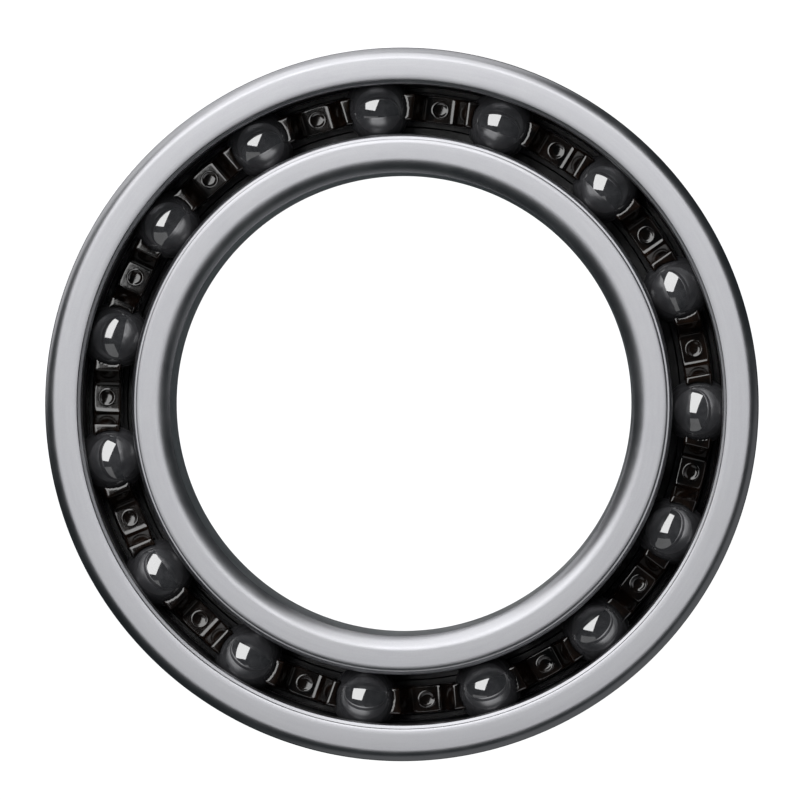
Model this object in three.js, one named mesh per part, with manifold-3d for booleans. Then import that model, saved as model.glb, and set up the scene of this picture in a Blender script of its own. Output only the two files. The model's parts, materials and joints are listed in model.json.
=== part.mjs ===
// Thin-section deep groove ball bearing, 24 x 37 x 7 mm: two steel rings, fifteen ceramic balls in a
// moulded crown cage, and a rubber seal on a steel insert that closes the rear. The front is open.
// Millimetres. The bearing's axis is Z and its open front, the cage's claw side, faces +Z. The origin
// is on the axis in the plane of the ball centres, midway between the two faces.

import * as THREE from "three";
import { mergeVertices } from "three/addons/utils/BufferGeometryUtils.js";
import Module from "manifold-3d";

const wasm = await Module();
wasm.setup();

// Overall sizes
const boreDiameter = 24;
const outerDiameter = 37;
const ringWidth = 7;

// Balls and raceways
const ballCount = 15;
const ballDiameter = 3.5;
const firstBallAngle = -1.3; // degrees from +X
const pitchOffset = 0.25; // the pitch circle's radius beyond the middle of the two rings
const grooveConformity = 0.52; // a raceway's section radius, in ball diameters
const raceClearance = 0.035; // ball to raceway
const outerShoulderHeight = 0.625; // raceway bottom to shoulder, outer ring
const innerShoulderHeight = 0.335; // raceway bottom to shoulder, inner ring

// Ring corners and faces
const outsideCornerRadius = 0.62; // outer ring, where it enters its housing
const boreCornerRadius = 0.85; // inner ring, where it goes on its shaft

// Seal seats: a snap-in groove in the outer ring, a stepped land on the inner ring, at both faces
const sealLipHeight = 0.14; // the groove's front lip stands this far outside the shoulder
const sealLeadIn = 0.28; // chamfer from the face down to the lip
const sealLipLand = 0.2; // axial width of the lip
const sealGrooveDepth = 0.5; // below the shoulder
const sealGrooveWidth = 0.4; // at its bottom
const sealGrooveFlank = 0.12; // axial run of each sloping flank
const landStep = 0.3; // the land lies this far inside the inner ring's shoulder
const landWidth = 0.9; // from the face
const landEdgeBreak = 0.25; // at the face
const shoulderEdgeBreak = 0.15; // at the top of the step

// Crown cage
const cageRadialWidth = 1.42;
const pocketClearance = 0.1; // ball to pocket
const cageFloor = 0.32; // behind each pocket
const clawHeight = 1.1; // claw tips above the ball centres
const clawTipLand = 0.33; // flat on a claw's tip, along the pitch circle
const clawSpread = 0.62; // run of a claw's sloping back, along the pitch circle
const valleyFloorHeight = -0.35; // floor between two claws, from the ball centres
const ejectorMarkDiameter = 0.72; // round recess left in each valley floor by the mould's pin
const ejectorMarkDepth = 0.12;

// Rear seal: nitrile rubber moulded round a pressed steel insert
const sealInset = 0.2; // behind the rings' rear face
const sealThickness = 0.45;
const sealFit = 0.06; // rubber to the outer ring's groove and lip
const lipClearance = 0.1; // lip to the inner ring's land
const lipLength = 1; // from the lip's tip to the full thickness of the web
const lipThickness = 0.14;
const insertThickness = 0.2;
const insertFit = 0.02; // insert to rubber, all round
const insertMargin = 0.16; // rubber between the insert's rim and the bead
const beadClearance = 0.15; // bead to the outside of the cage

// Facets
const ringSegments = 60;
const raceSteps = 4; // from a raceway's bottom to its shoulder
const cornerSteps = 3;
const ballSegments = 16;
const ballRows = 8;
const pocketSegments = 14;
const pocketRows = 10;
const markSegments = 8;

// Places that follow from the sizes above
const faceHeight = ringWidth / 2;
const boreRadius = boreDiameter / 2;
const outerRadius = outerDiameter / 2;
const ballRadius = ballDiameter / 2;
const pitchRadius = (boreRadius + outerRadius) / 2 + pitchOffset;
const grooveRadius = grooveConformity * ballDiameter;
const outerRaceRadius = pitchRadius + ballRadius + raceClearance;
const innerRaceRadius = pitchRadius - ballRadius - raceClearance;
const outerShoulderRadius = outerRaceRadius - outerShoulderHeight;
const innerShoulderRadius = innerRaceRadius + innerShoulderHeight;
const sealLipRadius = outerShoulderRadius + sealLipHeight;
const sealGrooveRadius = outerShoulderRadius + sealGrooveDepth;
const lipLandFront = faceHeight - sealLeadIn;
const grooveFlankFront = lipLandFront - sealLipLand;
const grooveFront = grooveFlankFront - sealGrooveFlank;
const grooveBack = grooveFront - sealGrooveWidth;
const shoulderEnd = grooveBack - sealGrooveFlank;
const landRadius = innerShoulderRadius - landStep;
const landEnd = faceHeight - landWidth;
const pocketRadius = ballRadius + pocketClearance;
const cageInnerRadius = pitchRadius - cageRadialWidth / 2;
const cageOuterRadius = pitchRadius + cageRadialWidth / 2;
const cageBack = -(pocketRadius + cageFloor);
const sealOutside = faceHeight - sealInset;
const sealInside = sealOutside - sealThickness;
const beadInnerRadius = cageOuterRadius + beadClearance;
const insertOuterRadius = beadInnerRadius - insertMargin;
const insertInnerRadius = landRadius + lipClearance + lipLength;

const materials = {
  bearingSteel: new THREE.MeshStandardMaterial({ color: 0xbcbbc0, roughness: 0.35, metalness: 1 }),
  siliconNitride: new THREE.MeshStandardMaterial({ color: 0x2b2c2f, roughness: 0.08, metalness: 0 }),
  cagePolymer: new THREE.MeshStandardMaterial({ color: 0x17120f, roughness: 0.4, metalness: 0 }),
  nitrileRubber: new THREE.MeshStandardMaterial({ color: 0x0e0e10, roughness: 0.7, metalness: 0 }),
  sheetSteel: new THREE.MeshStandardMaterial({ color: 0x7d7f82, roughness: 0.45, metalness: 1 }),
};

// Turns a closed profile of [radius, height] points, anticlockwise with the axis on its left, about Z.
function turned(profile) {
  const points = [...profile, profile[0]].map(([radius, height]) => new THREE.Vector2(radius, height));
  return new THREE.LatheGeometry(points, ringSegments).rotateX(Math.PI / 2);
}

// Points along a circular arc, without its first point.
function arc(centreRadius, centreHeight, radius, startAngle, endAngle, steps) {
  return Array.from({ length: steps }, (_, i) => {
    const angle = startAngle + ((endAngle - startAngle) * (i + 1)) / steps;
    return [centreRadius + radius * Math.cos(angle), centreHeight + radius * Math.sin(angle)];
  });
}

// Closes the front half of a ring's profile, which starts on the ball plane, with its mirror image.
function mirrored(frontHalf) {
  const rearHalf = frontHalf.slice(1).reverse().map(([radius, height]) => [radius, -height]);
  return [...frontHalf, ...rearHalf];
}

// A closed geometry as a manifold-3d solid.
function solidOf(geometry) {
  const bare = geometry.clone().deleteAttribute("normal").deleteAttribute("uv");
  const merged = mergeVertices(bare, 1e-4);
  return new wasm.Manifold(
    new wasm.Mesh({
      numProp: 3,
      vertProperties: new Float32Array(merged.attributes.position.array),
      triVerts: new Uint32Array(merged.index.array),
    }),
  );
}

// A manifold-3d solid as a geometry.
function geometryOf(solid) {
  const { numProp, numVert, vertProperties, triVerts } = solid.getMesh();
  const positions = new Float32Array(numVert * 3);
  for (let i = 0; i < numVert; i++) {
    positions.set(vertProperties.subarray(i * numProp, i * numProp + 3), i * 3);
  }
  const geometry = new THREE.BufferGeometry();
  geometry.setAttribute("position", new THREE.BufferAttribute(positions, 3));
  geometry.setIndex(new THREE.BufferAttribute(new Uint32Array(triVerts), 1));
  geometry.computeVertexNormals();
  return geometry;
}

function ballAngle(index) {
  return THREE.MathUtils.degToRad(firstBallAngle) + (index * 2 * Math.PI) / ballCount;
}

// Outer ring: raceway, shoulder, seal groove with its lip and lead-in, face, and outside corner.
function outerRing() {
  const grooveCentre = outerRaceRadius - grooveRadius;
  const shoulderAngle = Math.acos((outerShoulderRadius - grooveCentre) / grooveRadius);
  const cornerCentreRadius = outerRadius - outsideCornerRadius;
  const cornerCentreHeight = faceHeight - outsideCornerRadius;
  const frontHalf = [
    [outerRaceRadius, 0],
    ...arc(grooveCentre, 0, grooveRadius, 0, shoulderAngle, raceSteps),
    [outerShoulderRadius, shoulderEnd],
    [sealGrooveRadius, grooveBack],
    [sealGrooveRadius, grooveFront],
    [sealLipRadius, grooveFlankFront],
    [sealLipRadius, lipLandFront],
    [sealLipRadius + sealLeadIn, faceHeight],
    [cornerCentreRadius, faceHeight],
    ...arc(cornerCentreRadius, cornerCentreHeight, outsideCornerRadius, Math.PI / 2, 0, cornerSteps),
  ];
  return turned(mirrored(frontHalf).reverse());
}

// Inner ring: raceway, shoulder, the stepped land for a seal's lip, face, and bore corner.
function innerRing() {
  const grooveCentre = innerRaceRadius + grooveRadius;
  const shoulderAngle = Math.acos((innerShoulderRadius - grooveCentre) / grooveRadius);
  const cornerCentreRadius = boreRadius + boreCornerRadius;
  const cornerCentreHeight = faceHeight - boreCornerRadius;
  const frontHalf = [
    [innerRaceRadius, 0],
    ...arc(grooveCentre, 0, grooveRadius, Math.PI, shoulderAngle, raceSteps),
    [innerShoulderRadius, landEnd - shoulderEdgeBreak],
    [innerShoulderRadius - shoulderEdgeBreak, landEnd],
    [landRadius, landEnd],
    [landRadius, faceHeight - landEdgeBreak],
    [landRadius - landEdgeBreak, faceHeight],
    [cornerCentreRadius, faceHeight],
    ...arc(cornerCentreRadius, cornerCentreHeight, boreCornerRadius, Math.PI / 2, Math.PI, cornerSteps),
  ];
  return turned(mirrored(frontHalf));
}

// Ball number index, on the pitch circle.
function ball(index) {
  const geometry = new THREE.SphereGeometry(ballRadius, ballSegments, ballRows).rotateX(Math.PI / 2);
  const mesh = new THREE.Mesh(geometry, materials.siliconNitride);
  mesh.name = `ball_${String(index + 1).padStart(2, "0")}`;
  mesh.position.set(pitchRadius, 0, 0).applyAxisAngle(new THREE.Vector3(0, 0, 1), ballAngle(index));
  return mesh;
}

// The spherical pocket that holds one ball, before it is turned to its place.
function pocket() {
  const sphere = new THREE.SphereGeometry(pocketRadius, pocketSegments, pocketRows);
  return sphere.rotateX(Math.PI / 2).translate(pitchRadius, 0, 0);
}

// The valley between the claws of two neighbouring pockets: a trapezium that runs through the cage
// along its radius, with its middle on +X.
function valley() {
  const mouthHalfWidth = Math.sqrt(pocketRadius ** 2 - clawHeight ** 2);
  const barMiddle = pitchRadius * Math.sin(Math.PI / ballCount);
  const topHalfWidth = barMiddle - mouthHalfWidth - clawTipLand;
  const floorHalfWidth = topHalfWidth - clawSpread;
  const rise = clawHeight - valleyFloorHeight;
  const overrun = 0.5; // past the claw tips and past the cage on both sides
  const overrunHalfWidth = topHalfWidth + (clawSpread / rise) * overrun;
  const outline = new THREE.Shape([
    new THREE.Vector2(-floorHalfWidth, valleyFloorHeight),
    new THREE.Vector2(floorHalfWidth, valleyFloorHeight),
    new THREE.Vector2(overrunHalfWidth, clawHeight + overrun),
    new THREE.Vector2(-overrunHalfWidth, clawHeight + overrun),
  ]);
  const depth = cageRadialWidth + 2 * overrun;
  const prism = new THREE.ExtrudeGeometry(outline, { depth, bevelEnabled: false });
  prism.rotateX(Math.PI / 2).rotateZ(Math.PI / 2);
  return prism.translate(cageInnerRadius - overrun, 0, 0);
}

// The round recess of the mould's ejector pin, in the floor of the valley on +X.
function ejectorMark() {
  const radius = ejectorMarkDiameter / 2;
  const pin = new THREE.CylinderGeometry(radius, radius, 2 * ejectorMarkDepth, markSegments);
  return pin.rotateX(Math.PI / 2).translate(pitchRadius, 0, valleyFloorHeight);
}

// Crown cage: a ring on the rear side with a pocket for each ball, open towards the front.
function cage() {
  const blank = turned([
    [cageInnerRadius, cageBack],
    [cageOuterRadius, cageBack],
    [cageOuterRadius, clawHeight],
    [cageInnerRadius, clawHeight],
  ]).rotateZ(ballAngle(0));
  let solid = solidOf(blank);
  for (let index = 0; index < ballCount; index++) {
    const barAngle = ballAngle(index + 0.5);
    solid = solid.subtract(solidOf(pocket().rotateZ(ballAngle(index))));
    solid = solid.subtract(solidOf(valley().rotateZ(barAngle)));
    solid = solid.subtract(solidOf(ejectorMark().rotateZ(barAngle)));
  }
  return geometryOf(solid);
}

// A profile whose heights are distances behind the ball plane, turned about Z.
function turnedBehind(profile) {
  return turned(profile.map(([radius, distance]) => [radius, -distance]));
}

// Seal rubber: a bead in the outer ring's groove, a web behind the insert, and a thin lip at the land.
function sealRubber() {
  const rimRadius = sealLipRadius - sealFit;
  const beadRadius = sealGrooveRadius - sealFit;
  const pocketBottom = sealInside + insertThickness + insertFit;
  const pocketOuterRadius = insertOuterRadius + insertFit;
  const pocketInnerRadius = insertInnerRadius - insertFit;
  const beadInside = grooveBack + sealFit;
  const tipRadius = landRadius + lipClearance;
  const lipMiddle = sealInside + sealThickness / 2;
  return turnedBehind([
    [rimRadius, sealOutside],
    [rimRadius, grooveFlankFront],
    [beadRadius, grooveFront - sealFit],
    [beadRadius, beadInside],
    [beadInnerRadius, beadInside],
    [beadInnerRadius, sealInside],
    [pocketOuterRadius, sealInside],
    [pocketOuterRadius, pocketBottom],
    [pocketInnerRadius, pocketBottom],
    [pocketInnerRadius, sealInside],
    [tipRadius + lipLength / 2, lipMiddle - lipThickness / 2],
    [tipRadius, lipMiddle - lipThickness / 2],
    [tipRadius, lipMiddle + lipThickness / 2],
    [tipRadius + lipLength / 2, lipMiddle + lipThickness / 2],
    [pocketInnerRadius, sealOutside],
  ]);
}

// Seal insert: a flat sheet steel washer in the rubber's recess, bare towards the balls.
function sealInsert() {
  const insertOutside = sealInside + insertThickness;
  return turnedBehind([
    [insertOuterRadius, insertOutside],
    [insertOuterRadius, sealInside],
    [insertInnerRadius, sealInside],
    [insertInnerRadius, insertOutside],
  ]);
}

function named(name, geometry, material) {
  const mesh = new THREE.Mesh(geometry, material);
  mesh.name = name;
  return mesh;
}

const bearing = new THREE.Group();
bearing.add(named("outer_ring", outerRing(), materials.bearingSteel));
bearing.add(named("inner_ring", innerRing(), materials.bearingSteel));
bearing.add(named("cage", cage(), materials.cagePolymer));
for (let index = 0; index < ballCount; index++) {
  bearing.add(ball(index));
}
bearing.add(named("rear_seal_rubber", sealRubber(), materials.nitrileRubber));
bearing.add(named("rear_seal_insert", sealInsert(), materials.sheetSteel));

export default bearing;
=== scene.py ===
import json
import math
import bpy
from mathutils import Matrix, Vector


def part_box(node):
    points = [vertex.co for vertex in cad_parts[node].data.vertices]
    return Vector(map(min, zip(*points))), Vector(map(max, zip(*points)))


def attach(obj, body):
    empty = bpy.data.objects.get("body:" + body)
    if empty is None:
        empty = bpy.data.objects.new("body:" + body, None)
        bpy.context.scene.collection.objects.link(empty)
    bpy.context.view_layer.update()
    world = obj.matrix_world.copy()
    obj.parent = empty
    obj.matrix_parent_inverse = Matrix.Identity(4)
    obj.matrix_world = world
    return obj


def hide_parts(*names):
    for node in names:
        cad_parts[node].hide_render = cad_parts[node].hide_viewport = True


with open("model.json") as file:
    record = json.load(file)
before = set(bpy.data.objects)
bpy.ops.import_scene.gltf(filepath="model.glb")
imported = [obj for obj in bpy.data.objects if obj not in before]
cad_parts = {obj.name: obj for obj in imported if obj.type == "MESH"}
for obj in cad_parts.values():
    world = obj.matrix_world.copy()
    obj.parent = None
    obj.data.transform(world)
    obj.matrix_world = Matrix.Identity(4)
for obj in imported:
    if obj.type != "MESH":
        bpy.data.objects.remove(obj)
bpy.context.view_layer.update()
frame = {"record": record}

# Thin-section ball bearing, 24 x 37 x 7 mm, lying on its rear face, open side up.
# Pieces are modelled at one unit to the millimetre about the bearing's axis, then brought to metres.
millimetre = 0.001
weld = 1e-4             # points closer than this, in millimetres, become one
scene = bpy.context.scene


def clearSelection():
    if bpy.context.object and bpy.context.object.mode != 'OBJECT':
        bpy.ops.object.mode_set(mode='OBJECT')
    for obj in list(bpy.context.selected_objects):
        obj.select_set(False)
    bpy.context.view_layer.objects.active = None


def pick(*objs):        # selects these objects alone, the last one active
    clearSelection()
    for obj in objs:
        obj.select_set(True)
    bpy.context.view_layer.objects.active = objs[-1]


def editing(obj):       # into edit mode, working on points, nothing selected
    pick(obj)
    bpy.ops.object.mode_set(mode='EDIT')
    bpy.ops.mesh.select_mode(type='VERT')
    bpy.ops.mesh.select_all(action='DESELECT')


def doneEditing():
    bpy.ops.object.mode_set(mode='OBJECT')


def selectPoints(obj, where):       # by place, from edit mode
    bpy.ops.mesh.select_mode(type='VERT')
    bpy.ops.mesh.select_all(action='DESELECT')
    bpy.ops.object.mode_set(mode='OBJECT')
    for v in obj.data.vertices:
        v.select = bool(where(v.co))
    bpy.ops.object.mode_set(mode='EDIT')


def near(x, z, reach=1e-3):         # a test for the profile point at radius x and height z
    return lambda co: abs(co.x - x) < reach and abs(co.z - z) < reach


def applyAll(obj):
    pick(obj)
    for modifier in list(obj.modifiers):
        bpy.ops.object.modifier_apply(modifier=modifier.name)


def freeze(obj):                    # place, turn and scale go into the mesh
    pick(obj)
    bpy.ops.object.transform_apply(location=True, rotation=True, scale=True)


def startProfile(name, x, z):       # one loose point in the XZ plane, ready to be extruded into an outline
    clearSelection()
    bpy.ops.mesh.primitive_plane_add(size=0.1, location=(x, 0, z))
    obj = bpy.context.object
    obj.name = name
    freeze(obj)
    editing(obj)
    bpy.ops.mesh.select_all(action='SELECT')
    bpy.ops.mesh.merge(type='CENTER')
    return obj


def extrudeTo(pen, x, z):           # draws one straight side from where the pen is
    bpy.ops.mesh.extrude_region_move(TRANSFORM_OT_translate={"value": (x - pen[0], 0, z - pen[1])})
    pen[0], pen[1] = x, z


def drawSides(pen, points):
    for x, z in points:
        extrudeTo(pen, x, z)


def roundPoint(obj, x, z, offset, segments):    # offset runs along each side from the corner
    selectPoints(obj, near(x, z))
    bpy.ops.mesh.bevel(offset=offset, offset_type='OFFSET', segments=segments, affect='VERTICES', profile=0.5)


def spinRound(steps, middle=(0, 0, 0)):       # a full turn about an upright axis
    bpy.ops.mesh.select_all(action='SELECT')
    bpy.ops.mesh.spin(steps=steps, angle=2 * math.pi, center=middle, axis=(0, 0, 1))
    bpy.ops.mesh.select_all(action='SELECT')
    bpy.ops.mesh.remove_doubles(threshold=weld)
    bpy.ops.mesh.select_all(action='SELECT')
    bpy.ops.mesh.normals_make_consistent(inside=False)


def mirrorAcross(obj, axis):        # 0, 1, 2 for X, Y, Z
    doneEditing()
    mirror = obj.modifiers.new("mirror", 'MIRROR')
    mirror.use_axis = [axis == 0, axis == 1, axis == 2]
    mirror.use_clip = True
    mirror.merge_threshold = weld
    applyAll(obj)


def closeNormals(obj):
    editing(obj)
    bpy.ops.mesh.select_all(action='SELECT')
    bpy.ops.mesh.remove_doubles(threshold=weld)
    bpy.ops.mesh.select_all(action='SELECT')
    bpy.ops.mesh.normals_make_consistent(inside=False)
    doneEditing()


def smoothBy(obj, degrees):
    pick(obj)
    bpy.ops.object.shade_smooth_by_angle(angle=math.radians(degrees))


def finishPiece(obj, name, material, body, node):
    obj.scale = (millimetre,) * 3
    freeze(obj)
    obj.name = name
    obj.data.name = name
    obj.data.materials.clear()
    obj.data.materials.append(material)
    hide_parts(node)
    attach(obj, body)
    return obj


def colour(hexCode):                # sRGB hex to the linear values that the shader wants
    parts = [int(hexCode[i:i + 2], 16) / 255 for i in (1, 3, 5)]
    return tuple(c / 12.92 if c <= 0.04045 else ((c + 0.055) / 1.055) ** 2.4 for c in parts) + (1.0,)


def newMaterial(name):
    material = bpy.data.materials.new(name)
    material.use_nodes = True
    material.node_tree.nodes.clear()
    return material


def addNode(material, kind, settings=None, sockets=None, links=None):
    # settings are the node's own fields, sockets its unlinked inputs, links feed an input from (node, output)
    node = material.node_tree.nodes.new(kind)
    for key, value in (settings or {}).items():
        setattr(node, key, value)
    for key, value in (sockets or {}).items():
        node.inputs[key].default_value = value
    for key, (source, output) in (links or {}).items():
        material.node_tree.links.new(source.outputs[output], node.inputs[key])
    return node


def roughnessRange(look, start=0.35, end=0.65):     # a noise's middle values, spread over a look's roughness
    smoothest, roughest = look["roughness"]
    return {"From Min": start, "From Max": end, "To Min": smoothest, "To Max": roughest}


def blendStops(node, stops):        # sets a colour ramp: (position, hex)
    ramp = node.color_ramp
    while len(ramp.elements) > 1:
        ramp.elements.remove(ramp.elements[-1])
    ramp.elements[0].position = stops[0][0]
    ramp.elements[0].color = colour(stops[0][1])
    for position, hexCode in stops[1:]:
        ramp.elements.new(position).color = colour(hexCode)


steelLook = dict(
    dark="#9d9da1", light="#a9a9ac",        # bearing steel, tumbled: the faces and corners
    wallGroundAndLitDark="#d2d2d5", wallGroundAndLitLight="#dfdfe1",    # the bore and the outside, painted brighter than the faces: in part their ground finish, in part painted light standing in for the light on them in side views
    groundAndLitWallLean=(0.08, 0.25),                  # height of the normal where the walls' brighter tone, partly painted light, starts to fade, and ends
    roughness=(0.30, 0.37),
    grindingLines=9000.0,                   # per metre across the lines: about 0.11 mm, the finest that shows
    stretch=0.0009,                         # metres of pattern to the radian, so a line runs on for millimetres
    grit=14000.0,                           # tumbling grit, about 0.07 mm
    cloud=420.0,                            # wiping marks and uneven tumbling, about 2.4 mm
    gritShare=0.55, cloudShare=0.45, bump=0.05)


def groundBearingSteel():
    # 100Cr6 chrome steel, ground and tumbled: a satin grey with fine round-going lines and faint clouds
    look = steelLook
    material = newMaterial("ground_bearing_steel")
    place = addNode(material, 'ShaderNodeTexCoord')
    split = addNode(material, 'ShaderNodeSeparateXYZ', links={"Vector": (place, "Object")})
    # radius from the axis, and height, so that the lines run round the ring as the wheel left them
    xSquared = addNode(material, 'ShaderNodeMath', {"operation": 'MULTIPLY'},
                       links={0: (split, "X"), 1: (split, "X")})
    bothSquared = addNode(material, 'ShaderNodeMath', {"operation": 'MULTIPLY_ADD'},
                          links={0: (split, "Y"), 1: (split, "Y"), 2: (xSquared, 0)})
    radius = addNode(material, 'ShaderNodeMath', {"operation": 'SQRT'}, links={0: (bothSquared, 0)})
    turn = addNode(material, 'ShaderNodeMath', {"operation": 'ARCTAN2'}, links={0: (split, "Y"), 1: (split, "X")})
    slow = addNode(material, 'ShaderNodeMath', {"operation": 'MULTIPLY'}, {1: look["stretch"]}, {0: (turn, 0)})
    alongLines = addNode(material, 'ShaderNodeCombineXYZ',
                         links={"X": (radius, 0), "Y": (split, "Z"), "Z": (slow, 0)})
    lines = addNode(material, 'ShaderNodeTexNoise', {"noise_dimensions": '3D'},
                    {"Scale": look["grindingLines"], "Detail": 3.0, "Roughness": 0.6}, {"Vector": (alongLines, 0)})
    grit = addNode(material, 'ShaderNodeTexNoise', {"noise_dimensions": '3D'},
                   {"Scale": look["grit"], "Detail": 2.0, "Roughness": 0.7}, {"Vector": (place, "Object")})
    cloud = addNode(material, 'ShaderNodeTexNoise', {"noise_dimensions": '3D'},
                    {"Scale": look["cloud"], "Detail": 5.0, "Roughness": 0.62}, {"Vector": (place, "Object")})
    texture = addNode(material, 'ShaderNodeMix', {"data_type": 'FLOAT'}, {"Factor": look["gritShare"]},
                      {"A": (lines, 0), "B": (grit, 0)})
    mixed = addNode(material, 'ShaderNodeMix', {"data_type": 'FLOAT'}, {"Factor": look["cloudShare"]},
                    {"A": (texture, 0), "B": (cloud, 0)})
    tone = addNode(material, 'ShaderNodeValToRGB', links={"Fac": (mixed, 0)})
    blendStops(tone, [(0.35, look["dark"]), (0.65, look["light"])])
    # a second, brighter tone for the bore and the outside: partly their ground finish, partly painted light standing
    # in for the light falling on them in side views
    groundAndLitWallTone = addNode(material, 'ShaderNodeValToRGB', links={"Fac": (mixed, 0)})
    blendStops(groundAndLitWallTone, [(0.35, look["wallGroundAndLitDark"]), (0.65, look["wallGroundAndLitLight"])])
    # the walls are picked by how upright their normal is, so this painted brightness follows which way the surface
    # faces
    facing = addNode(material, 'ShaderNodeSeparateXYZ', links={"Vector": (place, "Normal")})
    lean = addNode(material, 'ShaderNodeMath', {"operation": 'ABSOLUTE'}, links={0: (facing, "Z")})
    groundAndLitWallMask = addNode(material, 'ShaderNodeMapRange', None,
                   {"From Min": look["groundAndLitWallLean"][0], "From Max": look["groundAndLitWallLean"][1], "To Min": 1.0, "To Max": 0.0},
                   {"Value": (lean, 0)})
    # 6 and 7 are the two colours that this node mixes, 2 the colour that comes out
    toneWithGroundAndLitWalls = addNode(material, 'ShaderNodeMix', {"data_type": 'RGBA'},
                     links={0: (groundAndLitWallMask, 0), 6: (tone, "Color"), 7: (groundAndLitWallTone, "Color")})
    rough = addNode(material, 'ShaderNodeMapRange', None, roughnessRange(look), {"Value": (cloud, 0)})
    bump = addNode(material, 'ShaderNodeBump', None, {"Strength": look["bump"], "Distance": 0.00002},
                   {"Height": (texture, 0)})
    shader = addNode(material, 'ShaderNodeBsdfPrincipled', None, {"Metallic": 1.0},
                     {"Base Color": (toneWithGroundAndLitWalls, 2), "Roughness": (rough, 0), "Normal": (bump, 0)})
    addNode(material, 'ShaderNodeOutputMaterial', links={"Surface": (shader, 0)})
    return material


ballLook = dict(
    dark="#2b2b2d", light="#3a3a3c",        # silicon nitride, nearly black
    grain=2600.0,                           # pale grains under the polish, drawn coarser than the real 0.02 mm
    smear=700.0,                            # oil smears, about 1.4 mm
    roughness=(0.035, 0.085), ior=2.05, bump=0.04)


def polishedNitride():
    # hot-pressed silicon nitride, lapped and polished, with a film of oil: charcoal under a hard clear shine
    look = ballLook
    material = newMaterial("polished_silicon_nitride")
    place = addNode(material, 'ShaderNodeTexCoord')
    grain = addNode(material, 'ShaderNodeTexNoise', None, {"Scale": look["grain"], "Detail": 3.0, "Roughness": 0.7},
                    {"Vector": (place, "Object")})
    smear = addNode(material, 'ShaderNodeTexNoise', None,
                    {"Scale": look["smear"], "Detail": 4.0, "Roughness": 0.6, "Distortion": 0.8},
                    {"Vector": (place, "Object")})
    tone = addNode(material, 'ShaderNodeValToRGB', links={"Fac": (grain, 0)})
    blendStops(tone, [(0.40, look["dark"]), (0.72, look["light"])])
    rough = addNode(material, 'ShaderNodeMapRange', None, roughnessRange(look, 0.4), {"Value": (smear, 0)})
    bump = addNode(material, 'ShaderNodeBump', None, {"Strength": look["bump"], "Distance": 0.00002},
                   {"Height": (smear, 0)})
    shader = addNode(material, 'ShaderNodeBsdfPrincipled', None, {"IOR": look["ior"]},
                     {"Base Color": (tone, "Color"), "Roughness": (rough, 0), "Normal": (bump, 0)})
    addNode(material, 'ShaderNodeOutputMaterial', links={"Surface": (shader, 0)})
    return material


cageLook = dict(
    dark="#040303", light="#170d07",        # brown-black, showing brown where it is thin
    flow=900.0,                             # flow marks of the moulding, about 1.1 mm
    oil=1500.0,                             # ripples of the oil film, about 0.7 mm
    roughness=(0.09, 0.14), ior=1.45,
    skinBump=0.10, filmBump=0.18,
    coat=0.22, coatRoughness=0.03, coatIor=1.44)    # the oil film


def mouldedCagePolymer():
    # glass-filled polyamide, injection moulded, wet with oil: brown-black, glossy, with broken glints
    look = cageLook
    material = newMaterial("moulded_cage_polyamide")
    place = addNode(material, 'ShaderNodeTexCoord')
    flow = addNode(material, 'ShaderNodeTexNoise', None,
                   {"Scale": look["flow"], "Detail": 4.0, "Roughness": 0.6, "Distortion": 0.5},
                   {"Vector": (place, "Object")})
    oil = addNode(material, 'ShaderNodeTexNoise', None, {"Scale": look["oil"], "Detail": 2.0, "Roughness": 0.45},
                  {"Vector": (place, "Object")})
    tone = addNode(material, 'ShaderNodeValToRGB', links={"Fac": (flow, 0)})
    blendStops(tone, [(0.38, look["dark"]), (0.68, look["light"])])
    rough = addNode(material, 'ShaderNodeMapRange', None, roughnessRange(look), {"Value": (flow, 0)})
    skin = addNode(material, 'ShaderNodeBump', None, {"Strength": look["skinBump"], "Distance": 0.00004},
                   {"Height": (flow, 0)})
    film = addNode(material, 'ShaderNodeBump', None, {"Strength": look["filmBump"], "Distance": 0.0001},
                   {"Height": (oil, 0)})
    shader = addNode(material, 'ShaderNodeBsdfPrincipled', None,
                     {"IOR": look["ior"], "Coat Weight": look["coat"], "Coat Roughness": look["coatRoughness"],
                      "Coat IOR": look["coatIor"]},
                     {"Base Color": (tone, "Color"), "Roughness": (rough, 0), "Normal": (skin, 0),
                      "Coat Normal": (film, 0)})
    addNode(material, 'ShaderNodeOutputMaterial', links={"Surface": (shader, 0)})
    return material


rubberLook = dict(
    dark="#08080a", light="#101013",        # carbon-black filled
    bloom=650.0,                            # wax bloom, about 1.5 mm
    grain=9000.0,                           # texture of the spark-eroded mould, about 0.11 mm
    roughness=(0.42, 0.62), ior=1.52, bump=0.3)


def mouldedNitrileRubber():
    # nitrile rubber, compression moulded: near black with a grey bloom and the fine grain of its mould
    look = rubberLook
    material = newMaterial("moulded_nitrile_rubber")
    place = addNode(material, 'ShaderNodeTexCoord')
    bloom = addNode(material, 'ShaderNodeTexNoise', None, {"Scale": look["bloom"], "Detail": 5.0, "Roughness": 0.65},
                    {"Vector": (place, "Object")})
    grain = addNode(material, 'ShaderNodeTexNoise', None, {"Scale": look["grain"], "Detail": 2.0, "Roughness": 0.6},
                    {"Vector": (place, "Object")})
    tone = addNode(material, 'ShaderNodeValToRGB', links={"Fac": (bloom, 0)})
    blendStops(tone, [(0.36, look["dark"]), (0.70, look["light"])])
    rough = addNode(material, 'ShaderNodeMapRange', None, roughnessRange(look), {"Value": (bloom, 0)})
    bump = addNode(material, 'ShaderNodeBump', None, {"Strength": look["bump"], "Distance": 0.00003},
                   {"Height": (grain, 0)})
    shader = addNode(material, 'ShaderNodeBsdfPrincipled', None, {"IOR": look["ior"]},
                     {"Base Color": (tone, "Color"), "Roughness": (rough, 0), "Normal": (bump, 0)})
    addNode(material, 'ShaderNodeOutputMaterial', links={"Surface": (shader, 0)})
    return material


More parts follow.
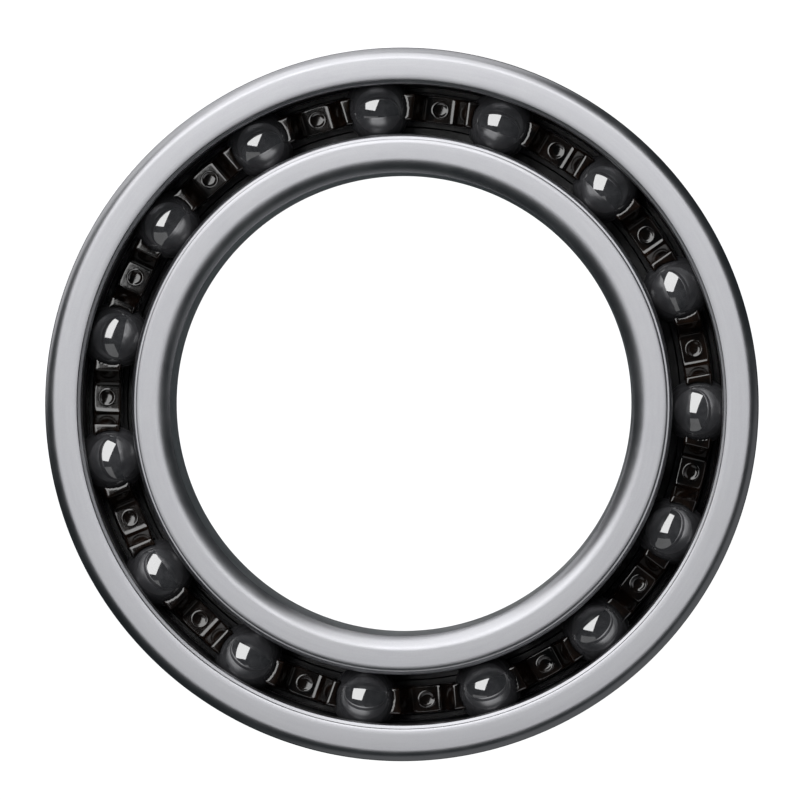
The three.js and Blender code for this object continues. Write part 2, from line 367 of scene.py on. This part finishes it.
washerLook = dict(
    dark="#55565a", light="#77787c",        # mild steel, dull
    rolling=5200.0,                         # rolling lines, about 0.2 mm apart
    spots=1600.0,                           # darker spots, about 0.6 mm
    spotShare=0.4, roughness=(0.38, 0.55), bump=0.2)


def rolledSheetSteel():
    # cold-rolled mild steel sheet, blanked: dull grey with straight rolling lines and darker spots
    look = washerLook
    material = newMaterial("rolled_sheet_steel")
    place = addNode(material, 'ShaderNodeTexCoord')
    stretch = addNode(material, 'ShaderNodeMapping', None, {"Scale": (1.0, 0.05, 1.0)}, {"Vector": (place, "Object")})
    rolling = addNode(material, 'ShaderNodeTexNoise', None, {"Scale": look["rolling"], "Detail": 3.0},
                      {"Vector": (stretch, 0)})
    spots = addNode(material, 'ShaderNodeTexNoise', None, {"Scale": look["spots"], "Detail": 4.0},
                    {"Vector": (place, "Object")})
    both = addNode(material, 'ShaderNodeMix', {"data_type": 'FLOAT'}, {"Factor": look["spotShare"]},
                   {"A": (rolling, 0), "B": (spots, 0)})
    tone = addNode(material, 'ShaderNodeValToRGB', links={"Fac": (both, 0)})
    blendStops(tone, [(0.36, look["dark"]), (0.66, look["light"])])
    rough = addNode(material, 'ShaderNodeMapRange', None, roughnessRange(look), {"Value": (spots, 0)})
    bump = addNode(material, 'ShaderNodeBump', None, {"Strength": look["bump"], "Distance": 0.00002},
                   {"Height": (rolling, 0)})
    shader = addNode(material, 'ShaderNodeBsdfPrincipled', None, {"Metallic": 1.0},
                     {"Base Color": (tone, "Color"), "Roughness": (rough, 0), "Normal": (bump, 0)})
    addNode(material, 'ShaderNodeOutputMaterial', links={"Surface": (shader, 0)})
    return material


ringSteel = groundBearingSteel()
ballNitride = polishedNitride()
cagePolymer = mouldedCagePolymer()
sealRubber = mouldedNitrileRubber()
washerSteel = rolledSheetSteel()
print("materials made")


# what the frame says, in millimetres
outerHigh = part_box("outer_ring")[1]
outsideRadius = outerHigh.x / millimetre
halfWidth = outerHigh.z / millimetre
ballJoints = [j for j in frame["record"]["behaviour"]["joints"] if j["name"].startswith("ball_")]
ballCentres = {j["child"]: Vector(j["pos_m"]) / millimetre for j in ballJoints}
pitchRadius = ballCentres["ball_01"].length
firstTurn = math.atan2(ballCentres["ball_01"].y, ballCentres["ball_01"].x)
ballCount = len(ballCentres)
ballPitch = 2 * math.pi / ballCount


outerRing = dict(
    grooveRadius=1.82, grooveOffset=0.035,      # section of the raceway, its centre a little inside the pitch circle
    shoulderRadius=16.66, shoulderHeight=2.38,
    sealGrooveRadius=17.16, sealGrooveFrom=2.50, sealGrooveTo=2.90,
    lipRadius=16.80, lipFrom=3.02, lipTo=3.472, leadIn=0.22,    # the lead-in guides a seal into its groove
    # rounded edges: how far along each side, and in how many steps
    racewayEdge=(0.10, 4), shoulderEdge=(0.06, 4), sealGrooveEdge=(0.10, 4), lipUnder=(0.04, 3), lipEdge=(0.03, 3),
    leadEdge=(0.09, 5), corner=(0.62, 14),
    arcSteps=16, steps=300, smoothAngle=40)


def makeOuterRing():
    d = outerRing
    centre = pitchRadius - d["grooveOffset"]
    obj = startProfile("outerRingWork", centre + d["grooveRadius"], 0)
    rise = math.acos((d["shoulderRadius"] - centre) / d["grooveRadius"])
    edge = d["grooveRadius"] * math.sin(rise)
    # the raceway's arc; in the background spin turns against its axis, hence the minus
    bpy.ops.mesh.spin(steps=d["arcSteps"], angle=-rise, center=(centre, 0, 0), axis=(0, -1, 0))
    selectPoints(obj, near(d["shoulderRadius"], edge, 0.02))
    pen = [d["shoulderRadius"], edge]
    leadRadius = d["lipRadius"] + d["leadIn"]
    drawSides(pen, [
        (d["shoulderRadius"], d["shoulderHeight"]), (d["sealGrooveRadius"], d["sealGrooveFrom"]),
        (d["sealGrooveRadius"], d["sealGrooveTo"]), (d["lipRadius"], d["lipFrom"]),
        (d["lipRadius"], d["lipTo"]), (leadRadius, halfWidth), (outsideRadius, halfWidth), (outsideRadius, 0)])
    roundPoint(obj, d["shoulderRadius"], edge, *d["racewayEdge"])
    roundPoint(obj, d["shoulderRadius"], d["shoulderHeight"], *d["shoulderEdge"])
    roundPoint(obj, d["sealGrooveRadius"], d["sealGrooveFrom"], *d["sealGrooveEdge"])
    roundPoint(obj, d["sealGrooveRadius"], d["sealGrooveTo"], *d["sealGrooveEdge"])
    roundPoint(obj, d["lipRadius"], d["lipFrom"], *d["lipUnder"])
    roundPoint(obj, d["lipRadius"], d["lipTo"], *d["lipEdge"])
    roundPoint(obj, leadRadius, halfWidth, *d["leadEdge"])
    roundPoint(obj, outsideRadius, halfWidth, *d["corner"])
    spinRound(d["steps"])
    mirrorAcross(obj, 2)
    closeNormals(obj)
    smoothBy(obj, d["smoothAngle"])
    return finishPiece(obj, "outerRing", ringSteel, "outer", "outer_ring")


innerRing = dict(
    grooveRadius=1.82, grooveOffset=0.035,
    shoulderRadius=14.05, shoulderHeight=2.45,
    stepRadius=13.90, landRadius=13.75, landFrom=2.60, landTo=3.47, faceRadius=13.60,
    boreRadius=12.0, cornerWide=0.33, cornerDeep=0.39,      # the bore's corner, a slope before it is rounded
    racewayEdge=(0.10, 4), shoulderEdge=(0.05, 3), stepEdge=(0.04, 3), landUnder=(0.05, 3), landEdge=(0.03, 3),
    faceEdge=(0.07, 5), corner=(0.46, 16), boreEdge=(0.04, 4),
    arcSteps=14, steps=300, smoothAngle=40)


def makeInnerRing():
    d = innerRing
    centre = pitchRadius + d["grooveOffset"]
    obj = startProfile("innerRingWork", centre - d["grooveRadius"], 0)
    rise = math.acos((centre - d["shoulderRadius"]) / d["grooveRadius"])
    edge = d["grooveRadius"] * math.sin(rise)
    bpy.ops.mesh.spin(steps=d["arcSteps"], angle=-rise, center=(centre, 0, 0), axis=(0, 1, 0))
    selectPoints(obj, near(d["shoulderRadius"], edge, 0.02))
    pen = [d["shoulderRadius"], edge]
    drawSides(pen, [
        (d["shoulderRadius"], d["shoulderHeight"]), (d["stepRadius"], d["landFrom"]),
        (d["landRadius"], d["landFrom"]), (d["landRadius"], d["landTo"]), (d["faceRadius"], halfWidth),
        (d["boreRadius"] + d["cornerWide"], halfWidth), (d["boreRadius"], halfWidth - d["cornerDeep"]),
        (d["boreRadius"], 0)])
    roundPoint(obj, d["shoulderRadius"], edge, *d["racewayEdge"])
    roundPoint(obj, d["shoulderRadius"], d["shoulderHeight"], *d["shoulderEdge"])
    roundPoint(obj, d["stepRadius"], d["landFrom"], *d["stepEdge"])
    roundPoint(obj, d["landRadius"], d["landFrom"], *d["landUnder"])
    roundPoint(obj, d["landRadius"], d["landTo"], *d["landEdge"])
    roundPoint(obj, d["faceRadius"], halfWidth, *d["faceEdge"])
    roundPoint(obj, d["boreRadius"] + d["cornerWide"], halfWidth, *d["corner"])
    roundPoint(obj, d["boreRadius"], halfWidth - d["cornerDeep"], *d["boreEdge"])
    spinRound(d["steps"])
    mirrorAcross(obj, 2)
    closeNormals(obj)
    smoothBy(obj, d["smoothAngle"])
    return finishPiece(obj, "innerRing", ringSteel, "inner", "inner_ring")


steelPieces = [makeOuterRing()]
print("outer ring made")
steelPieces.append(makeInnerRing())
print("inner ring made")


ballSize = dict(radius=1.75, cuts=23, turns=(1.7, 2.3, 0.9))      # turns in radians, from one ball to the next


def makeBalls():
    d = ballSize
    clearSelection()
    bpy.ops.mesh.primitive_cube_add(size=2 * d["radius"] / math.sqrt(3), location=(0, 0, 0))
    ball = bpy.context.object
    editing(ball)
    bpy.ops.mesh.select_all(action='SELECT')
    bpy.ops.mesh.subdivide(number_cuts=d["cuts"])       # six patches, so no pole shows in the shine
    bpy.ops.mesh.select_all(action='SELECT')
    bpy.ops.transform.tosphere(value=1)
    doneEditing()
    reach = max(v.co.length for v in ball.data.vertices)
    ball.scale = (d["radius"] / reach,) * 3
    freeze(ball)
    bpy.ops.object.shade_smooth()
    made = []
    for name, centre in ballCentres.items():
        copy = ball.copy()
        copy.data = ball.data.copy()
        scene.collection.objects.link(copy)
        # each ball has stopped at its own turn, so their grain and smears differ
        number = int(name[-2:])
        copy.rotation_euler = [number * turn for turn in d["turns"]]
        copy.location = centre
        freeze(copy)
        made.append(finishPiece(copy, "nitrideBall" + name[-2:], ballNitride, name, name))
    bpy.data.objects.remove(ball)
    return made


darkPieces = makeBalls()
print("balls made")


cageSize = dict(
    insideRadius=14.79, outsideRadius=16.21, floorLevel=-2.17, clawLevel=1.10,
    pocketRadius=1.85, floorEdge=(0.18, 4), clawEdge=(0.12, 3),     # edges: how far along each side, steps
    startTurn=-3, sweepTurn=17, sweepSteps=17,      # degrees, from short of the bar's middle to past the ball
    valleyLevel=-0.35, valleyHalf=0.785, valleyTopHalf=1.405, valleyFillet=(0.16, 5), valleyLength=6,
    skinVoxel=0.06, softening=0.5, passes=3, keep=0.42,     # the moulding's soft edges, and the share of faces kept
    # the mark's section: distance from its middle, and height over the valley's floor
    mark=((0, 0.012), (0.22, 0.016), (0.31, 0.030), (0.36, 0.058), (0.415, 0.07), (0.47, 0.055), (0.495, -0.05),
          (0, -0.05)),
    markSteps=36, smoothAngle=50)


def makeBarBlank():     # a piece of the cage's ring, from the middle of a bar to past the middle of a ball
    d = cageSize
    pen = [d["insideRadius"], d["floorLevel"]]
    obj = startProfile("cageWork", *pen)
    drawSides(pen, [(d["outsideRadius"], d["floorLevel"]), (d["outsideRadius"], d["clawLevel"]),
                    (d["insideRadius"], d["clawLevel"])])
    bpy.ops.mesh.select_all(action='SELECT')
    bpy.ops.mesh.edge_face_add()
    for x in (d["insideRadius"], d["outsideRadius"]):
        roundPoint(obj, x, d["floorLevel"], *d["floorEdge"])
        roundPoint(obj, x, d["clawLevel"], *d["clawEdge"])
    # the section is turned back a little past the bar's middle, then swept to past the ball
    doneEditing()
    obj.rotation_euler = (0, 0, math.radians(d["startTurn"]))
    freeze(obj)
    editing(obj)
    bpy.ops.mesh.select_all(action='SELECT')
    bpy.ops.mesh.spin(steps=d["sweepSteps"], angle=-math.radians(d["sweepTurn"]), center=(0, 0, 0), axis=(0, 0, 1))
    bpy.ops.mesh.select_all(action='SELECT')
    bpy.ops.mesh.remove_doubles(threshold=weld)
    # close whichever end the sweep left open
    bpy.ops.mesh.select_all(action='DESELECT')
    bpy.ops.mesh.select_non_manifold(extend=False, use_wire=False, use_multi_face=False, use_non_contiguous=False,
                                     use_verts=False)
    bpy.ops.mesh.fill_holes(sides=0)
    bpy.ops.mesh.select_all(action='SELECT')
    bpy.ops.mesh.normals_make_consistent(inside=False)
    doneEditing()
    return obj


def cutWith(obj, tool):
    pick(obj)
    cut = obj.modifiers.new("cut", 'BOOLEAN')
    cut.operation = 'DIFFERENCE'
    cut.solver = 'EXACT'
    cut.object = tool
    applyAll(obj)
    bpy.data.objects.remove(tool)


def makePocketTool():
    d = cageSize
    clearSelection()
    half = ballPitch / 2
    bpy.ops.mesh.primitive_uv_sphere_add(
        segments=72, ring_count=36, radius=d["pocketRadius"],
        location=(pitchRadius * math.cos(half), pitchRadius * math.sin(half), 0))
    tool = bpy.context.object
    freeze(tool)
    return tool


def makeValleyTool():   # a long wedge with a flat bottom, laid across the bar
    d = cageSize
    slope = (d["valleyTopHalf"] - d["valleyHalf"]) / (d["clawLevel"] - d["valleyLevel"])
    above = d["clawLevel"] + 1
    topHalf = d["valleyHalf"] + slope * (above - d["valleyLevel"])
    obj = startProfile("valleyTool", -topHalf, above)
    pen = [-topHalf, above]
    drawSides(pen, [(-d["valleyHalf"], d["valleyLevel"]), (d["valleyHalf"], d["valleyLevel"]), (topHalf, above)])
    bpy.ops.mesh.select_all(action='SELECT')
    bpy.ops.mesh.edge_face_add()
    for x in (-d["valleyHalf"], d["valleyHalf"]):
        roundPoint(obj, x, d["valleyLevel"], *d["valleyFillet"])
    bpy.ops.mesh.select_all(action='SELECT')
    bpy.ops.mesh.extrude_region_move(TRANSFORM_OT_translate={"value": (0, d["valleyLength"], 0)})
    bpy.ops.mesh.select_all(action='SELECT')
    bpy.ops.mesh.normals_make_consistent(inside=False)
    doneEditing()
    obj.rotation_euler = (0, 0, math.radians(-90))      # its length now runs outwards
    obj.location = (pitchRadius - d["valleyLength"] / 2, 0, 0)
    freeze(obj)
    return obj


def makeMark():         # the raised ring that an ejector pin leaves on the floor of a valley
    d = cageSize
    outline = [(pitchRadius + out, d["valleyLevel"] + up) for out, up in d["mark"]]
    obj = startProfile("markWork", *outline[0])
    drawSides(list(outline[0]), outline[1:])
    spinRound(d["markSteps"], middle=(pitchRadius, 0, 0))
    doneEditing()
    return obj


def makeCage():
    d = cageSize
    blank = makeBarBlank()
    cutWith(blank, makePocketTool())
    cutWith(blank, makeValleyTool())
    skin = blank.modifiers.new("skin", 'REMESH')
    skin.mode = 'VOXEL'
    skin.voxel_size = d["skinVoxel"]
    soften = blank.modifiers.new("soften", 'SMOOTH')
    soften.factor = d["softening"]
    soften.iterations = d["passes"]
    thin = blank.modifiers.new("thin", 'DECIMATE')
    thin.ratio = d["keep"]
    applyAll(blank)
    # cut square at the middle of the bar and the middle of the ball, then mirrored to a whole bar
    editing(blank)
    bpy.ops.mesh.select_all(action='SELECT')
    bpy.ops.mesh.bisect(plane_co=(0, 0, 0), plane_no=(0, 1, 0), clear_inner=True)
    bpy.ops.mesh.select_all(action='SELECT')
    half = ballPitch / 2
    bpy.ops.mesh.bisect(plane_co=(0, 0, 0), plane_no=(-math.sin(half), math.cos(half), 0), clear_outer=True)
    mirrorAcross(blank, 1)
    mark = makeMark()
    pick(mark, blank)
    bpy.ops.object.join()
    bars = []
    for i in range(ballCount):
        bar = blank.copy()
        bar.data = blank.data.copy()
        scene.collection.objects.link(bar)
        bar.rotation_euler = (0, 0, firstTurn + half + i * ballPitch)
        bars.append(bar)
    bpy.data.objects.remove(blank)
    for bar in bars:
        freeze(bar)
    pick(*bars)
    bpy.ops.object.join()
    cage = bpy.context.object
    closeNormals(cage)
    smoothBy(cage, d["smoothAngle"])
    return finishPiece(cage, "crownCage", cagePolymer, "cage", "cage")


darkPieces.append(makeCage())
print("cage made")


sealSize = dict(
    beadRadius=17.08, beadInner=16.38, beadFrom=-2.58, webFrom=-2.87, face=-3.28,
    washerOuter=16.20, washerInner=14.85, washerTop=-2.86, washerThickness=0.19, washerSink=0.015,
    lipRadius=13.86, lipMiddle=-3.075, lipThickness=0.14, lipRoot=(14.35, 14.55),
    innerRidge=(14.55, 14.80), dish=(14.90, 16.05), dishDepth=0.06, outerRidge=(16.15, 16.62),
    rimRadius=16.74, rimRise=0.2, rimLevel=-3.0, neckLevel=-2.94,
    beadChamfer=(0.36, 0.1), pocketGap=0.03, webSlope=0.22,
    beadEdge=0.06, lipEdge=0.03, rimEdge=0.08, ridgeEdge=0.06, dishEdge=0.04, roundSteps=3,     # rounded corners
    punchedEdge=(0.05, 3), steps=240, smoothAngle=35)


def makeSealRubber():
    d = sealSize
    lipHigh, lipLow = d["lipMiddle"] + d["lipThickness"] / 2, d["lipMiddle"] - d["lipThickness"] / 2
    under = d["washerTop"] - d["washerThickness"]       # the rubber's side of the washer
    pen = [d["beadRadius"], d["webFrom"]]
    obj = startProfile("sealWork", *pen)
    chamferIn, chamferDown = d["beadChamfer"]
    pocketOut, pocketIn = d["washerOuter"] + d["pocketGap"], d["washerInner"] - d["pocketGap"]
    lipUnder, lipOver = d["lipRoot"]
    ridgeFrom, ridgeTo = d["innerRidge"]
    outerFrom, outerTo = d["outerRidge"]
    dishFrom, dishTo = d["dish"]
    dishLevel = d["face"] + d["dishDepth"]
    drawSides(pen, [
        (d["beadRadius"], d["beadFrom"] - chamferDown), (d["beadRadius"] - chamferIn, d["beadFrom"]),
        (d["beadInner"], d["beadFrom"]), (d["beadInner"], d["webFrom"]),
        (pocketOut, d["webFrom"]), (pocketOut, under), (pocketIn, under), (pocketIn, d["webFrom"]),
        (d["washerInner"] - d["webSlope"], d["webFrom"]), (lipOver, lipHigh), (d["lipRadius"], lipHigh),
        (d["lipRadius"], lipLow), (lipUnder, lipLow), (ridgeFrom, d["face"]), (ridgeTo, d["face"]),
        (dishFrom, dishLevel), (dishTo, dishLevel), (outerFrom, d["face"]), (outerTo, d["face"]),
        (d["rimRadius"], d["face"] + d["rimRise"]), (d["rimRadius"], d["rimLevel"]),
        (d["beadRadius"], d["neckLevel"]), (d["beadRadius"], d["webFrom"])])
    for x, z, reach in (
            (d["beadInner"], d["beadFrom"], d["beadEdge"]), (d["lipRadius"], lipHigh, d["lipEdge"]),
            (d["lipRadius"], lipLow, d["lipEdge"]), (outerTo, d["face"], d["rimEdge"]),
            (ridgeFrom, d["face"], d["ridgeEdge"]), (outerFrom, d["face"], d["dishEdge"]),
            (ridgeTo, d["face"], d["dishEdge"])):
        roundPoint(obj, x, z, reach, d["roundSteps"])
    spinRound(d["steps"])
    doneEditing()
    closeNormals(obj)
    smoothBy(obj, d["smoothAngle"])
    return finishPiece(obj, "rearSealRubber", sealRubber, "outer", "rear_seal_rubber")


def makeSealWasher():
    d = sealSize
    high, low = d["washerTop"], d["washerTop"] - d["washerThickness"] + d["washerSink"]
    pen = [d["washerInner"], high]
    obj = startProfile("washerWork", *pen)
    drawSides(pen, [(d["washerOuter"], high), (d["washerOuter"], low), (d["washerInner"], low),
                    (d["washerInner"], high)])
    roundPoint(obj, d["washerOuter"], high, *d["punchedEdge"])      # rolled over by the punch
    spinRound(d["steps"])
    doneEditing()
    closeNormals(obj)
    smoothBy(obj, d["smoothAngle"])
    return finishPiece(obj, "rearSealWasher", washerSteel, "outer", "rear_seal_insert")


darkPieces.append(makeSealRubber())
darkPieces.append(makeSealWasher())
print("rear seal made")


shot = dict(place=(6.7, 2.8, 323.0), aim=(-0.076, 0.236, 3.0), lens=278.0)     # mm; looking down on the open side

clearSelection()
bpy.ops.object.camera_add(location=Vector(shot["place"]) * millimetre)
camera = bpy.context.object
camera.name = "shotCamera"
camera.data.lens = shot["lens"]
camera.data.sensor_width = 36.0
camera.data.clip_start = 0.01
camera.data.clip_end = 20.0
camera.data.dof.use_dof = False
sight = Vector(shot["aim"]) - Vector(shot["place"])
# the camera looks along the sight line, with the frame's +Y upwards in the picture
back = -sight.normalized()
right = Vector((0, 1, 0)).cross(back).normalized()
up = back.cross(right)
camera.rotation_euler = Matrix((right, up, back)).transposed().to_euler()
scene.camera = camera


studio = dict(surround="#2a3032", surroundStrength=1.0, floorShine=1.05, floorSize=6, floorGap=0.00001)


def softbox(name, place, size, longWay, radiance, onto):
    clearSelection()
    bpy.ops.object.light_add(type='AREA', location=place)
    lamp = bpy.context.object
    lamp.name = name
    lamp.data.shape = 'RECTANGLE'
    lamp.data.size, lamp.data.size_y = size
    lamp.data.energy = radiance * math.pi * size[0] * size[1]       # watts for that radiance
    lamp.visible_camera = False
    facing = Vector(place).normalized()                             # an area light shines down its -Z, at the ring
    long = Vector(longWay)
    long = (long - facing * long.dot(facing)).normalized()
    across = long.cross(facing)
    lamp.rotation_euler = Matrix((across, long, facing)).transposed().to_euler()
    lamp.light_linking.receiver_collection = onto


def lightGroup(name, pieces):       # which pieces a softbox falls on
    group = bpy.data.collections.new(name)
    for piece in pieces:
        group.objects.link(piece)
    return group


steelGroup = lightGroup("steelRings", steelPieces)
darkGroup = lightGroup("darkPieces", darkPieces)
# in metres: where each hangs, its size across and along, the way its length runs, and its radiance
softboxes = [
    dict(name="keyOnDarkPieces", place=(-0.095, 0.155, 0.255), size=(0.235, 0.44), longWay=(0.21, 0.14, -0.37),
         radiance=6.0, onto=darkGroup),
    dict(name="panelOnSteelRings", place=(-0.055, 0.20, 0.235), size=(0.30, 0.32), longWay=(0.05, 0.14, -0.20),
         radiance=2.35, onto=steelGroup),
    dict(name="fillOnSteelRings", place=(-0.02, 0.05, 0.50), size=(0.54, 0.38), longWay=(0, 1, 0),
         radiance=1.38, onto=steelGroup),
    dict(name="edgeOnSteelRings", place=(-0.09, 0.26, 0.045), size=(0.46, 0.11), longWay=(0, 0, 1),
         radiance=1.2, onto=steelGroup),
    dict(name="sideOnSteelRings", place=(-0.13, 0.22, -0.12), size=(0.70, 0.28), longWay=(0, 0, 1),
         radiance=1.0, onto=steelGroup),
    dict(name="underOnSteelRings", place=(0.15, -0.20, -0.05), size=(0.70, 0.42), longWay=(0, 0, 1),
         radiance=0.20, onto=steelGroup),
    dict(name="lowOnDarkPieces", place=(-0.08, -0.20, 0.12), size=(0.24, 0.27), longWay=(0.05, -0.2, -0.16),
         radiance=0.6, onto=darkGroup)]
for box in softboxes:
    softbox(**box)

world = bpy.data.worlds.new("darkStudio")
world.use_nodes = True
scene.world = world
sky = world.node_tree.nodes["Background"]
sky.inputs["Color"].default_value = colour(studio["surround"])
sky.inputs["Strength"].default_value = studio["surroundStrength"]


def paleGlow(name, shine):
    material = newMaterial(name)
    glow = addNode(material, 'ShaderNodeBsdfPrincipled', None,
                   {"Base Color": colour("#f2f2f2"), "Roughness": 0.9, "Emission Color": (1, 1, 1, 1),
                    "Emission Strength": shine})
    addNode(material, 'ShaderNodeOutputMaterial', links={"Surface": (glow, 0)})
    return material


clearSelection()
bpy.ops.mesh.primitive_plane_add(
    size=studio["floorSize"], location=(0, 0, -halfWidth * millimetre - studio["floorGap"]))
floor = bpy.context.object
freeze(floor)
floor.name = "paleFloor"
floor.data.materials.append(paleGlow("pale_floor", studio["floorShine"]))
floor.visible_glossy = False        # no piece mirrors the floor, as with a dark card under the bearing
floor.visible_shadow = False        # the two lowest softboxes shine from under its level

scene.view_settings.view_transform = 'Standard'
scene.view_settings.look = 'None'
scene.view_settings.exposure = 0
scene.view_settings.gamma = 1
print("camera, lights and floor set")
